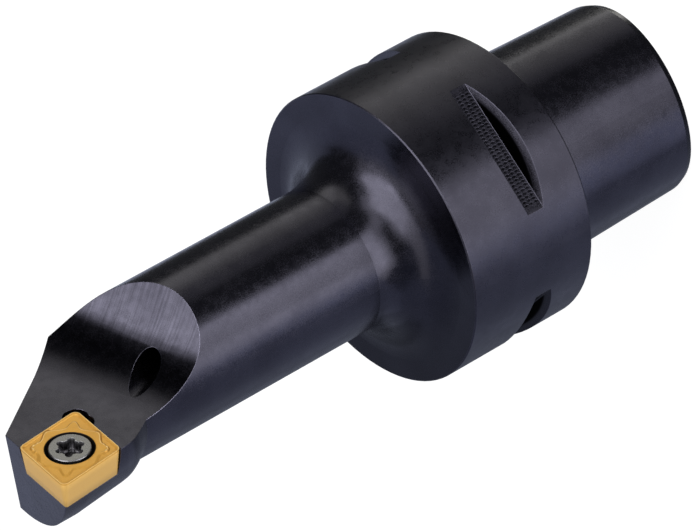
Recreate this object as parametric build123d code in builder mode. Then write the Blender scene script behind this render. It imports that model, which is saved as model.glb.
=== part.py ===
"""Right-hand internal turning bar for an 80 degree rhombic insert, on a polygonal taper shank.

Frame: Z runs along the bar axis towards the nose, the origin is the centre of the flange's
rear contact face, +X points to the cutting corner and +Y is the side the rake face looks to.
"""

import math
import os

from build123d import *

os.makedirs("parts", exist_ok=True)

# Polygonal taper shank, ISO 26623-1 size 40
SHANK_MEAN_D = 28.0
SHANK_ECCENTRICITY = 0.9
SHANK_LENGTH = 24.0
SHANK_TAPER = 1 / 20
SHANK_LOBE_TURN = 30.0
SHANK_SECTION_POINTS = 72
SHANK_END_CHAMFER = 0.9
SHANK_END_DROP = 0.3

# Inside of the shank: clamping bore with its groove, pull-screw thread, coolant supply
CLAMP_BORE_D = 18.0
CLAMP_BORE_DEPTH = 20.0
CLAMP_BORE_CHAMFER = 0.8
CLAMP_GROOVE_D = 21.0
CLAMP_GROOVE_START = 7.5
CLAMP_GROOVE_WIDTH = 6.0
PULL_THREAD_D = 12.5
PULL_THREAD_LENGTH = 16.0
DRILL_POINT = 118.0
SUPPLY_D = 5.0
SUPPLY_END = 53.0

# Flange
FLANGE_D = 40.0
FLANGE_LENGTH = 20.0
FLANGE_FRONT_BREAK = 0.15
FLANGE_REAR_BREAK = 0.25

# Four gripping slots milled across the flange
SLOT_COUNT = 4
SLOT_FIRST_ANGLE = 45.0
SLOT_FLOOR_R = 17.76
SLOT_FLOOR_START = 6.85
SLOT_FLOOR_WIDTH = 2.55
SLOT_WALL_LEAN = 30.0
SLOT_MOUTH_R = 21.0

# Round neck
NECK_D = 20.0
NECK_FILLET = 7.0

# Head, turned slightly off the bar axis: it rises from the neck and widens towards the nose by the
# approach angle, and a ramp turned on the bar axis leads up to it from the neck
HEAD_OFFSET_X = 0.95
HEAD_OFFSET_Y = 0.45
HEAD_RISE = 1.72
HEAD_CONE_END = 76.0
HEAD_RAMP_START = 64.85
HEAD_RAMP_ANGLE = 29.3
HEAD_BLEND_R = 6.0
HEAD_ROOT_DEPTH = 3.0
NECK_OVERLAP = 3.6

# Left flank of the head: one straight cut over the whole height
FLANK_REAR_X = -9.65
FLANK_REAR_Z = 63.92
FLANK_ANGLE = 33.7
FLANK_LEAN = 2.3

# Insert: 80 degree rhombus, 7 degree clearance
INSERT_CIRCLE = 9.525
INSERT_ANGLE = 80.0
INSERT_THICKNESS = 3.97
INSERT_CLEARANCE = 7.0
INSERT_CORNER_R = 0.8
INSERT_BORE_D = 4.4
INSERT_SINK_D = 6.3
INSERT_SEAT_D = 5.4
INSERT_SEAT_DEPTH = 1.0
CHIP_LAND = 0.2
CHIP_DEPTH = 0.16
ISLAND_R = 3.86
ISLAND_LONG_GAP = 2.17
ISLAND_LONG_SPREAD = 8.5
ISLAND_SHORT_GAP = 1.5
ISLAND_SHORT_SPREAD = 11.0
ISLAND_SIDE_BULGE = 0.5
ISLAND_SIDE_ANGLE = 46.0
ISLAND_SIDE_SPREAD = 14.0
ISLAND_POINTS = 72

# Where the cutting corner sits: its reach beyond the neck, and along the bar
TIP_REACH = 3.0
TIP_Z = 80.2
RADIAL_RAKE = -5.5
APPROACH = 5.0

# Insert screw, M3.5 with a six-lobe recess
SCREW_D = 3.5
SCREW_LENGTH = 7.9
SCREW_STAND = 0.05
SCREW_CONE = 60.0
SCREW_HEAD_D = 5.3
SCREW_HEAD_BREAK = 0.1
SCREW_END_CHAMFER = 0.4
LOBE_COUNT = 6
LOBE_SPAN = 3.7
LOBE_R = 0.46
LOBE_CORE_D = 2.8
LOBE_DEPTH = 1.6
SCREW_CLEARANCE = 0.03
SCREW_HOLE_EXTRA = 0.5

# Insert pocket and the relief drilled into its inner corner
POCKET_REACH = 25.0
RELIEF_R = 1.62
RELIEF_EXTRA = 0.3
RELIEF_FIRST = (-6.05, 0.05)
RELIEF_SECOND = (-5.1, 0.85)

# Chip scoop: inclined wall, round and flat cut with one skewed profile
SCOOP_SKEW = 15.0
SCOOP_INCLINE = 52.3
SCOOP_R = 16.4
SCOOP_FLAT_START = 66.3
SCOOP_FLAT_DROP = 0.12

# Nose face follows the insert's front flank, a touch behind it
FACE_SETBACK = 0.08

# Coolant outlet drilled from the scoop back to the supply
OUTLET_D = 3.5
OUTLET_TURN = 24.0
OUTLET_RISE = 2.6
OUTLET_X = 4.39
OUTLET_Y = 2.5
OUTLET_Z = 60.0
OUTLET_BACK = 13.0


def tangent(degrees):
    """Tangent of an angle in degrees."""
    return math.tan(math.radians(degrees))


def polygon_section(mean_d):
    """Points of the three-lobed section whose mean diameter is mean_d."""
    points = []
    radius = mean_d / 2
    ecc = SHANK_ECCENTRICITY
    turn = math.radians(SHANK_LOBE_TURN)
    for index in range(SHANK_SECTION_POINTS):
        t = 2 * math.pi * index / SHANK_SECTION_POINTS
        x = radius * math.cos(t) - ecc * math.cos(2 * t) + ecc / 2 * math.cos(4 * t)
        y = radius * math.sin(t) + ecc * math.sin(2 * t) + ecc / 2 * math.sin(4 * t)
        points.append((x * math.cos(turn) - y * math.sin(turn), x * math.sin(turn) + y * math.cos(turn)))
    return points


# Rake face: its normal, and the in-plane direction across the bar
rake = math.radians(-RADIAL_RAKE)
rake_up = Vector(math.sin(rake), math.cos(rake), 0)
rake_across = Vector(math.cos(rake), -math.sin(rake), 0)
bar_axis = Vector(0, 0, 1)

# Insert outline: the bisector of the cutting corner lies halfway between across and axis
half_angle = math.radians(INSERT_ANGLE / 2)
approach = math.radians(APPROACH)
clearance = math.radians(INSERT_CLEARANCE)
bisector = (rake_across + bar_axis).normalized()
long_half = INSERT_CIRCLE / 2 / math.sin(half_angle)
short_half = INSERT_CIRCLE / 2 / math.cos(half_angle)

# The gauge point touches the corner radius both across the bar and along it
tip_x = NECK_D / 2 + TIP_REACH
nose_centre = Vector(tip_x, 0, TIP_Z) - (rake_across + bar_axis) * INSERT_CORNER_R
insert_centre = nose_centre - bisector * (long_half - INSERT_CORNER_R / math.sin(half_angle))
insert_top = Plane(origin=insert_centre, x_dir=bisector, z_dir=rake_up)
insert_down = Plane(origin=insert_centre, x_dir=bisector, z_dir=-rake_up)
insert_section = Plane(origin=insert_centre, x_dir=bisector, z_dir=(rake_across - bar_axis).normalized())
insert_axis = Axis(insert_centre, rake_up)

# Front flank direction of the insert, which the nose face of the head repeats
face_out = bar_axis * math.cos(approach) - rake_across * math.sin(approach)
face_normal = face_out * math.cos(clearance) - rake_up * math.sin(clearance)
face_point = insert_centre + face_out * (INSERT_CIRCLE / 2) - face_normal * FACE_SETBACK

# Scoop profile directions and the point where its round meets its inclined wall
skew = math.radians(SCOOP_SKEW)
incline = math.radians(SCOOP_INCLINE)
scoop_forward = rake_across * math.sin(skew) + bar_axis * math.cos(skew)
scoop_side = rake_across * math.cos(skew) - bar_axis * math.sin(skew)
scoop_flat = insert_centre.dot(rake_up) - SCOOP_FLAT_DROP
scoop_break = SCOOP_FLAT_START - SCOOP_R * math.sin(incline)
scoop_break_height = scoop_flat + SCOOP_R * (1 - math.cos(incline))

# Normal of the left flank's sketch plane, leaned so the cut drifts outward towards the bottom
flank_lean = math.radians(FLANK_LEAN)
flank_down = Vector(-math.sin(flank_lean), -math.cos(flank_lean), 0)
flank_right = Vector(math.cos(flank_lean), -math.sin(flank_lean), 0)

# Coolant outlet axis
turn = math.radians(OUTLET_TURN)
rise = math.radians(OUTLET_RISE)
outlet_axis = Vector(math.sin(turn) * math.cos(rise), math.sin(rise), math.cos(turn) * math.cos(rise))
outlet_start = Vector(OUTLET_X, OUTLET_Y, OUTLET_Z) - outlet_axis * OUTLET_BACK


def seat_depth(radius):
    """Depth below the rake face at which the screw seat's cone has a given radius."""
    return INSERT_SEAT_DEPTH + (INSERT_SEAT_D / 2 - radius) / tangent(SCREW_CONE / 2)


def island_outline():
    """Points around the chip island: a round centre, an arm towards each corner and a bulge towards each side."""
    points = []
    for index in range(ISLAND_POINTS):
        angle = 360 * index / ISLAND_POINTS
        to_long = abs((angle + 90) % 180 - 90)
        to_short = 90 - to_long
        to_side = to_long - ISLAND_SIDE_ANGLE
        radius = ISLAND_R
        radius += (long_half - ISLAND_LONG_GAP - ISLAND_R) * math.exp(-((to_long / ISLAND_LONG_SPREAD) ** 2))
        radius += (short_half - ISLAND_SHORT_GAP - ISLAND_R) * math.exp(-((to_short / ISLAND_SHORT_SPREAD) ** 2))
        radius += ISLAND_SIDE_BULGE * math.exp(-((to_side / ISLAND_SIDE_SPREAD) ** 2))
        points.append((radius * math.cos(math.radians(angle)), radius * math.sin(math.radians(angle))))
    return points


# ------------------------------------------------------------------ head blank
head_root = HEAD_RAMP_START - HEAD_ROOT_DEPTH
head_axis = (HEAD_OFFSET_X, HEAD_OFFSET_Y, 0)
head_r = NECK_D / 2 + HEAD_RISE
with BuildPart() as head_blank:
    # Round that widens towards the nose
    with BuildSketch(Plane(origin=head_axis, x_dir=(1, 0, 0), z_dir=(0, -1, 0))):
        with BuildLine():
            Polyline(
                (0, head_root),
                (head_r - (HEAD_CONE_END - head_root) * tangent(APPROACH), head_root),
                (head_r, HEAD_CONE_END),
                (head_r, TIP_Z),
                (0, TIP_Z),
                close=True,
            )
        make_face()
    revolve(axis=Axis(head_axis, (0, 0, 1)))

    # Ramp from the neck, turned on the bar axis
    with BuildSketch(Plane.XZ):
        with BuildLine():
            Polyline(
                (0, head_root),
                (NECK_D / 2 - HEAD_ROOT_DEPTH * tangent(HEAD_RAMP_ANGLE), head_root),
                (NECK_D / 2 + (TIP_Z - HEAD_RAMP_START) * tangent(HEAD_RAMP_ANGLE), TIP_Z),
                (0, TIP_Z),
                close=True,
            )
        make_face()
    revolve(axis=Axis.Z, mode=Mode.INTERSECT)

    # Blend where the ramp runs into the round
    fillet(head_blank.edges().filter_by(GeomType.BSPLINE), HEAD_BLEND_R)


# ------------------------------------------------------------------ bar body
with BuildPart() as bar_body:
    # Flange, fillet and neck turned in one profile
    with BuildSketch(Plane.XZ):
        with BuildLine():
            Polyline(
                (0, 0),
                (FLANGE_D / 2 - FLANGE_REAR_BREAK, 0),
                (FLANGE_D / 2, FLANGE_REAR_BREAK),
                (FLANGE_D / 2, FLANGE_LENGTH - FLANGE_FRONT_BREAK),
                (FLANGE_D / 2 - FLANGE_FRONT_BREAK, FLANGE_LENGTH),
                (NECK_D / 2 + NECK_FILLET, FLANGE_LENGTH),
            )
            CenterArc((NECK_D / 2 + NECK_FILLET, FLANGE_LENGTH + NECK_FILLET), NECK_FILLET, 180, 90)
            Polyline(
                (NECK_D / 2, FLANGE_LENGTH + NECK_FILLET),
                (NECK_D / 2, HEAD_RAMP_START + NECK_OVERLAP),
                (0, HEAD_RAMP_START + NECK_OVERLAP),
                (0, 0),
            )
        make_face()
    revolve(axis=Axis.Z)

    # Tapered polygon shank
    with BuildSketch(Plane.XY):
        with BuildLine():
            Spline(*polygon_section(SHANK_MEAN_D), periodic=True)
        make_face()
    with BuildSketch(Plane.XY.offset(-SHANK_LENGTH)):
        with BuildLine():
            Spline(*polygon_section(SHANK_MEAN_D - SHANK_LENGTH * SHANK_TAPER), periodic=True)
        make_face()
    loft()
    shank_end = bar_body.faces().sort_by(Axis.Z)[0]
    chamfer(shank_end.edges(), SHANK_END_DROP, SHANK_END_CHAMFER, reference=shank_end)

    # Head
    add(head_blank.part)

    # Straight flank on the left of the head
    with BuildSketch(Plane(origin=(FLANK_REAR_X, 0, FLANK_REAR_Z), x_dir=flank_right, z_dir=flank_down)):
        with BuildLine():
            Polyline(
                (-FLANGE_D * tangent(FLANK_ANGLE), -FLANGE_D),
                (FLANGE_D * tangent(FLANK_ANGLE), FLANGE_D),
                (-FLANGE_D, FLANGE_D),
                (-FLANGE_D, -FLANGE_D),
                close=True,
            )
        make_face()
    extrude(amount=FLANGE_D, both=True, mode=Mode.SUBTRACT)

    # Chip scoop, open to the nose
    with BuildSketch(Plane(origin=(0, 0, 0), x_dir=scoop_forward, z_dir=-scoop_side)):
        with BuildLine():
            CenterArc((SCOOP_FLAT_START, scoop_flat + SCOOP_R), SCOOP_R, 270 - SCOOP_INCLINE, SCOOP_INCLINE)
            Polyline(
                (SCOOP_FLAT_START, scoop_flat),
                (TIP_Z + NECK_D, scoop_flat),
                (TIP_Z + NECK_D, FLANGE_D),
                (scoop_break - (FLANGE_D - scoop_break_height) / tangent(SCOOP_INCLINE), FLANGE_D),
                (scoop_break, scoop_break_height),
            )
        make_face()
    extrude(amount=FLANGE_D, both=True, mode=Mode.SUBTRACT)

    # Nose face under the insert
    with BuildSketch(Plane(origin=face_point, x_dir=rake_up, z_dir=face_normal)):
        Rectangle(2 * FLANGE_D, 2 * FLANGE_D)
    extrude(amount=NECK_D, mode=Mode.SUBTRACT)

    # Insert pocket, corner relief and screw hole
    with BuildSketch(insert_down):
        with BuildLine():
            Polyline(
                (-long_half, 0),
                (-long_half + POCKET_REACH * math.cos(half_angle), POCKET_REACH * math.sin(half_angle)),
                (-long_half + 2 * POCKET_REACH * math.cos(half_angle), 0),
                (-long_half + POCKET_REACH * math.cos(half_angle), -POCKET_REACH * math.sin(half_angle)),
                close=True,
            )
        make_face()
    extrude(amount=INSERT_THICKNESS, taper=INSERT_CLEARANCE, mode=Mode.SUBTRACT)
    with BuildSketch(insert_top):
        with Locations(RELIEF_FIRST, RELIEF_SECOND):
            Circle(RELIEF_R)
    extrude(amount=-(INSERT_THICKNESS + RELIEF_EXTRA), mode=Mode.SUBTRACT)
    with BuildSketch(insert_down):
        Circle(SCREW_D / 2 + SCREW_CLEARANCE)
    extrude(amount=SCREW_LENGTH + SCREW_HOLE_EXTRA, mode=Mode.SUBTRACT)

    # Gripping slots
    slot_run = (SLOT_MOUTH_R - SLOT_FLOOR_R) * tangent(SLOT_WALL_LEAN)
    for index in range(SLOT_COUNT):
        angle = math.radians(SLOT_FIRST_ANGLE + 360 / SLOT_COUNT * index)
        outward = (math.cos(angle), math.sin(angle), 0)
        along = (math.sin(angle), -math.cos(angle), 0)
        with BuildSketch(Plane(origin=(0, 0, 0), x_dir=outward, z_dir=along)):
            with BuildLine():
                Polyline(
                    (SLOT_FLOOR_R, SLOT_FLOOR_START),
                    (SLOT_FLOOR_R, SLOT_FLOOR_START + SLOT_FLOOR_WIDTH),
                    (SLOT_MOUTH_R, SLOT_FLOOR_START + SLOT_FLOOR_WIDTH + slot_run),
                    (SLOT_MOUTH_R, SLOT_FLOOR_START - slot_run),
                    close=True,
                )
            make_face()
        extrude(amount=FLANGE_D, both=True, mode=Mode.SUBTRACT)

    # Clamping bore with groove, pull-screw thread core and coolant supply, turned from the rear
    groove_start = -SHANK_LENGTH + CLAMP_GROOVE_START
    bore_end = -SHANK_LENGTH + CLAMP_BORE_DEPTH
    thread_end = bore_end + PULL_THREAD_LENGTH
    with BuildSketch(Plane.XZ):
        with BuildLine():
            Polyline(
                (0, -SHANK_LENGTH),
                (CLAMP_BORE_D / 2 + CLAMP_BORE_CHAMFER, -SHANK_LENGTH),
                (CLAMP_BORE_D / 2, -SHANK_LENGTH + CLAMP_BORE_CHAMFER),
                (CLAMP_BORE_D / 2, groove_start),
                (CLAMP_GROOVE_D / 2, groove_start + (CLAMP_GROOVE_D - CLAMP_BORE_D) / 2),
                (CLAMP_GROOVE_D / 2, groove_start + CLAMP_GROOVE_WIDTH),
                (CLAMP_BORE_D / 2, groove_start + CLAMP_GROOVE_WIDTH),
                (CLAMP_BORE_D / 2, bore_end),
                (PULL_THREAD_D / 2, bore_end),
                (PULL_THREAD_D / 2, thread_end),
                (SUPPLY_D / 2, thread_end + (PULL_THREAD_D - SUPPLY_D) / 2 / tangent(DRILL_POINT / 2)),
                (SUPPLY_D / 2, SUPPLY_END),
                (0, SUPPLY_END + SUPPLY_D / 2 / tangent(DRILL_POINT / 2)),
                close=True,
            )
        make_face()
    revolve(axis=Axis.Z, mode=Mode.SUBTRACT)

    # Coolant outlet drilled from the scoop back into the supply
    with BuildSketch(Plane(origin=outlet_start, z_dir=outlet_axis)):
        Circle(OUTLET_D / 2)
    extrude(amount=2 * OUTLET_BACK, mode=Mode.SUBTRACT)

bar_body.part.label = "bar_body"
export_step(bar_body.part, "parts/bar_body.step")


# ------------------------------------------------------------------ insert
with BuildPart() as insert:
    with BuildSketch(insert_down) as outline:
        with BuildLine():
            Polyline((long_half, 0), (0, short_half), (-long_half, 0), (0, -short_half), close=True)
        make_face()
        fillet(outline.vertices(), INSERT_CORNER_R)
    extrude(amount=INSERT_THICKNESS, taper=INSERT_CLEARANCE)

    # Chip groove between the edge land and the island around the bore
    with BuildSketch(insert_top) as groove:
        with BuildLine():
            Polyline((long_half, 0), (0, short_half), (-long_half, 0), (0, -short_half), close=True)
        make_face()
        fillet(groove.vertices(), INSERT_CORNER_R)
        offset(amount=-CHIP_LAND, kind=Kind.ARC, mode=Mode.REPLACE)
        with BuildLine():
            Spline(*island_outline(), periodic=True)
        make_face(mode=Mode.SUBTRACT)
    extrude(amount=-CHIP_DEPTH, mode=Mode.SUBTRACT)

    # Bore with its screw seat
    with BuildSketch(insert_section):
        with BuildLine():
            Polyline(
                (0, 0),
                (INSERT_SINK_D / 2, 0),
                (INSERT_SEAT_D / 2, INSERT_SEAT_DEPTH),
                (INSERT_BORE_D / 2, seat_depth(INSERT_BORE_D / 2)),
                (INSERT_BORE_D / 2, INSERT_THICKNESS),
                (0, INSERT_THICKNESS),
                close=True,
            )
        make_face()
    revolve(axis=insert_axis, mode=Mode.SUBTRACT)

insert.part.label = "insert"
export_step(insert.part, "parts/insert.step")


# ------------------------------------------------------------------ insert screw
with BuildPart() as insert_screw:
    with BuildSketch(insert_section):
        with BuildLine():
            Polyline(
                (0, -SCREW_STAND),
                (SCREW_HEAD_D / 2 - SCREW_HEAD_BREAK, -SCREW_STAND),
                (SCREW_HEAD_D / 2, SCREW_HEAD_BREAK - SCREW_STAND),
                (SCREW_HEAD_D / 2, seat_depth(SCREW_HEAD_D / 2)),
                (SCREW_D / 2, seat_depth(SCREW_D / 2)),
                (SCREW_D / 2, SCREW_LENGTH - SCREW_END_CHAMFER),
                (SCREW_D / 2 - SCREW_END_CHAMFER, SCREW_LENGTH),
                (0, SCREW_LENGTH),
                close=True,
            )
        make_face()
    revolve(axis=insert_axis)

    # Six-lobe recess with a drilled bottom
    with BuildSketch(insert_down.offset(-SCREW_STAND)):
        Circle(LOBE_CORE_D / 2)
        with PolarLocations(LOBE_SPAN / 2 - LOBE_R, LOBE_COUNT):
            Circle(LOBE_R)
    extrude(amount=LOBE_DEPTH, mode=Mode.SUBTRACT)

insert_screw.part.label = "insert_screw"
export_step(insert_screw.part, "parts/insert_screw.step")
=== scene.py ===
"""Finishes, studio and fine detail for the boring bar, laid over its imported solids."""

import logging
import math
from collections.abc import Sequence
from dataclasses import dataclass, field
from enum import Enum

import bmesh
import bpy
from mathutils import Matrix, Vector

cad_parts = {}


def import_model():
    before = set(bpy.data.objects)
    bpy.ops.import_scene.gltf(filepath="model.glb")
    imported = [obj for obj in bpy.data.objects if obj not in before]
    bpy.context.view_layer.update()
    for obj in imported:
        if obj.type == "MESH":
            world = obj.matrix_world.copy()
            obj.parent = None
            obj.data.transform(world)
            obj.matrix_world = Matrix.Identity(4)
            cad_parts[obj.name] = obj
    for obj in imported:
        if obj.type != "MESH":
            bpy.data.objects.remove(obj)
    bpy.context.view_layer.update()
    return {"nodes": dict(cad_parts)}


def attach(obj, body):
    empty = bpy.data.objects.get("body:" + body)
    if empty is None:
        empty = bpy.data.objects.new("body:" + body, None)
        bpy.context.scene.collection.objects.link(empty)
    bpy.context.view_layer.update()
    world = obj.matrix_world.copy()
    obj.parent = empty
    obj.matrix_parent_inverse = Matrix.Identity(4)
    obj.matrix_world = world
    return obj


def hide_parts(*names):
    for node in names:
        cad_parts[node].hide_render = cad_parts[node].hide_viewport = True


LOG = logging.getLogger("boring_bar")

MM = 0.001
BODY = "root"
# vertex layer that says where the chip breaker's painted shadow and highlight go
CREASE = "crease"
EDGE_SAMPLES = 6

Colour = tuple[float, float, float]
Direction = tuple[float, float, float]
Socket = bpy.types.NodeSocket
Ring = list[bmesh.types.BMEdge]


class Slot(Enum):
    """Material slots of the record."""

    BLACK_STEEL = "black_steel"
    GOLD_COATING = "gold_coating"
    SCREW_STEEL = "screw_steel"


class Gel(Enum):
    """Tints of the studio's cloth."""

    PLAIN = (1.0, 1.0, 1.0)
    COOL = (0.86, 0.94, 1.20)
    WARM = (1.05, 1.05, 0.90)


@dataclass(frozen=True)
class Ramp:
    """A smooth change over a span of values, level before and after it."""

    low: float
    high: float
    to_low: float = 0.0
    to_high: float = 1.0


EVEN_OUT = Ramp(0.0, 1.0)
EDGE_BEND = Ramp(0.90, 0.99, 1.0, 0.0)
SCOOP_START = Ramp(45.0 * MM, 46.0 * MM)
SCOOP_END = Ramp(66.0 * MM, 67.5 * MM, 1.0, 0.0)


# --------------------------------------------------------------------------- node helpers
class NodeBench:
    """Adds and joins nodes of one material or world tree."""

    def __init__(self, tree: bpy.types.NodeTree) -> None:
        """Keeps the tree and empties it.

        Args:
            tree: the node tree to fill.
        """
        self.tree = tree
        self.tree.nodes.clear()

    def add(self, kind: str, **settings: object) -> bpy.types.Node:
        """Adds a node.

        Args:
            kind: the node's type name.
            settings: attributes to set on it.

        Returns:
            The new node.
        """
        node = self.tree.nodes.new(kind)
        for name, value in settings.items():
            setattr(node, name, value)
        return node

    def join(self, source: Socket, target: Socket) -> None:
        """Links two sockets."""
        self.tree.links.new(source, target)

    def feed(self, target: Socket, value: object) -> None:
        """Links a socket or sets a constant.

        Args:
            target: the input socket.
            value: a socket to link, or a constant.
        """
        if isinstance(value, Socket):
            self.join(value, target)
        else:
            target.default_value = value

    def math(self, operation: str, first: object, second: object = 0.0) -> Socket:
        """A Math node.

        Args:
            operation: its operation.
            first: the first value or socket.
            second: the second value or socket.

        Returns:
            The result socket.
        """
        node = self.add("ShaderNodeMath", operation=operation)
        self.feed(node.inputs[0], first)
        self.feed(node.inputs[1], second)
        return node.outputs[0]

    def product(self, *factors: object) -> Socket:
        """Multiplies values or sockets, one after another.

        Args:
            factors: two or more of them.

        Returns:
            The result socket.
        """
        result = factors[0]
        for factor in factors[1:]:
            result = self.math("MULTIPLY", result, factor)
        return result

    def apart(self, value: object, number: float) -> Socket:
        """How far a value lies from a number."""
        return self.math("ABSOLUTE", self.math("SUBTRACT", value, number))

    def dot(self, vector: Socket, direction: Sequence[float]) -> Socket:
        """Component of a vector along a fixed direction.

        Args:
            vector: the vector's socket.
            direction: the unit direction.

        Returns:
            The result socket.
        """
        node = self.add("ShaderNodeVectorMath", operation="DOT_PRODUCT")
        self.join(vector, node.inputs[0])
        node.inputs[1].default_value = tuple(direction)
        return node.outputs["Value"]

    def beyond(self, place: Socket, direction: Vector, start: Direction) -> Socket:
        """How far a place lies past a point, along a direction."""
        return self.math("SUBTRACT", self.dot(place, direction), Vector(start).dot(direction))

    def combine(self, x: object, y: object, z: object) -> Socket:
        """A vector from three values or sockets.

        Args:
            x: the first.
            y: the second.
            z: the third.

        Returns:
            The vector's socket.
        """
        node = self.add("ShaderNodeCombineXYZ")
        for socket, value in zip(node.inputs, (x, y, z)):
            self.feed(socket, value)
        return node.outputs[0]

    def split(self, vector: Socket) -> tuple[Socket, ...]:
        """The three parts of a vector.

        Args:
            vector: the vector's socket.

        Returns:
            Sockets of its x, y and z.
        """
        node = self.add("ShaderNodeSeparateXYZ")
        self.join(vector, node.inputs[0])
        return tuple(node.outputs)

    def from_axis(self, place: Socket) -> Socket:
        """Distance of a place from the bar's axis.

        Args:
            place: object coordinates.

        Returns:
            The distance's socket.
        """
        x, y, _ = self.split(place)
        node = self.add("ShaderNodeVectorMath", operation="LENGTH")
        self.join(self.combine(x, y, 0.0), node.inputs[0])
        return node.outputs["Value"]

    def ramp(self, value: object, ramp: Ramp) -> Socket:
        """A value taken through a ramp.

        Args:
            value: the socket to map.
            ramp: the ramp that it follows.

        Returns:
            The result socket.
        """
        node = self.add("ShaderNodeMapRange", interpolation_type="SMOOTHSTEP")
        self.feed(node.inputs["Value"], value)
        node.inputs["From Min"].default_value = ramp.low
        node.inputs["From Max"].default_value = ramp.high
        node.inputs["To Min"].default_value = ramp.to_low
        node.inputs["To Max"].default_value = ramp.to_high
        return node.outputs["Result"]

    def noise(self, vector: Socket, scale: float, detail: float = 2.0) -> Socket:
        """Noise of a given scale.

        Args:
            vector: where it is read.
            scale: its scale, per metre.
            detail: its octaves.

        Returns:
            The factor socket.
        """
        node = self.add("ShaderNodeTexNoise", noise_dimensions="3D")
        self.join(vector, node.inputs["Vector"])
        node.inputs["Scale"].default_value = scale
        node.inputs["Detail"].default_value = detail
        return node.outputs[0]

    def mix_colour(self, factor: object, first: object, second: object, blend: str = "MIX") -> Socket:
        """A colour Mix node.

        Args:
            factor: the share of the second colour.
            first: the first colour or socket.
            second: the second colour or socket.
            blend: the way they blend.

        Returns:
            The result socket.
        """
        node = self.add("ShaderNodeMix", data_type="RGBA", blend_type=blend)
        self.feed(node.inputs[0], factor)
        self.feed(node.inputs[6], first)
        self.feed(node.inputs[7], second)
        return node.outputs[2]


def rgba(colour: Colour) -> tuple[float, float, float, float]:
    """A colour with full alpha."""
    return (*colour, 1.0)


def new_material(name: str) -> tuple[bpy.types.Material, NodeBench]:
    """A material with an empty tree.

    Args:
        name: the material's name.

    Returns:
        The material and its bench.
    """
    material = bpy.data.materials.new(name)
    material.use_nodes = True
    return material, NodeBench(material.node_tree)


def edge_bevel(bench: NodeBench, radius: float) -> tuple[Socket, Socket]:
    """Softened normals along the edges, and where they are.

    Args:
        bench: the material's bench.
        radius: the edges' radius, in metres.

    Returns:
        The softened normal and a socket that is 1 along an edge and 0 away from it.
    """
    soften = bench.add("ShaderNodeBevel", samples=EDGE_SAMPLES)
    soften.inputs["Radius"].default_value = radius
    shape = bench.add("ShaderNodeNewGeometry")
    bend = bench.add("ShaderNodeVectorMath", operation="DOT_PRODUCT")
    bench.join(soften.outputs[0], bend.inputs[0])
    bench.join(shape.outputs["Normal"], bend.inputs[1])
    return soften.outputs[0], bench.ramp(bend.outputs["Value"], EDGE_BEND)


@dataclass(frozen=True)
class Relief:
    """Fine relief of a surface."""

    strength: float
    depth: float

    def normals(self, bench: NodeBench, height: Socket, base: Socket | None = None) -> Socket:
        """Normals bent by a height.

        Args:
            bench: the material's bench.
            height: how high the surface stands.
            base: the normals to bend, or none for the surface's own.

        Returns:
            The bent normals.
        """
        bump = bench.add("ShaderNodeBump")
        bump.inputs["Strength"].default_value = self.strength
        bump.inputs["Distance"].default_value = self.depth
        bench.join(height, bump.inputs["Height"])
        if base is not None:
            bench.join(base, bump.inputs["Normal"])
        return bump.outputs[0]


def metal_surface(bench: NodeBench, metallic: float, colour: Socket, rough: Socket, normal: Socket) -> None:
    """Ends a material's tree with a metallic surface.

    Args:
        bench: the material's bench.
        metallic: how metallic it is.
        colour: its colour.
        rough: its roughness.
        normal: its normals.
    """
    shader = bench.add("ShaderNodeBsdfPrincipled")
    shader.inputs["Metallic"].default_value = metallic
    bench.join(colour, shader.inputs["Base Color"])
    bench.join(rough, shader.inputs["Roughness"])
    bench.join(normal, shader.inputs["Normal"])
    output = bench.add("ShaderNodeOutputMaterial")
    bench.join(shader.outputs[0], output.inputs["Surface"])


# --------------------------------------------------------------------------- directions of the cuts
@dataclass(frozen=True)
class CutDirections:
    """Directions that the head's cuts and the insert follow."""

    rake_degrees: float = 5.5
    scoop_skew_degrees: float = 15.0
    scoop_incline_degrees: float = 52.3

    @property
    def up(self) -> Vector:
        """Normal of the rake face."""
        rake = math.radians(self.rake_degrees)
        return Vector((math.sin(rake), math.cos(rake), 0.0))

    @property
    def across(self) -> Vector:
        """Across the bar, in the rake face."""
        rake = math.radians(self.rake_degrees)
        return Vector((math.cos(rake), -math.sin(rake), 0.0))

    @property
    def axis(self) -> Vector:
        """Along the bar."""
        return Vector((0.0, 0.0, 1.0))

    @property
    def scoop_side(self) -> Vector:
        """Along the scoop, across its profile."""
        skew = math.radians(self.scoop_skew_degrees)
        return self.across * math.cos(skew) - self.axis * math.sin(skew)

    @property
    def scoop_forward(self) -> Vector:
        """Forward in the scoop's profile."""
        skew = math.radians(self.scoop_skew_degrees)
        return self.across * math.sin(skew) + self.axis * math.cos(skew)

    @property
    def scoop_down(self) -> Vector:
        """Down the scoop's inclined wall."""
        incline = math.radians(self.scoop_incline_degrees)
        return self.scoop_forward * math.cos(incline) - self.up * math.sin(incline)

    @property
    def bisector(self) -> Vector:
        """From the insert's centre to its cutting corner."""
        return (self.across + self.axis).normalized()


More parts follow.
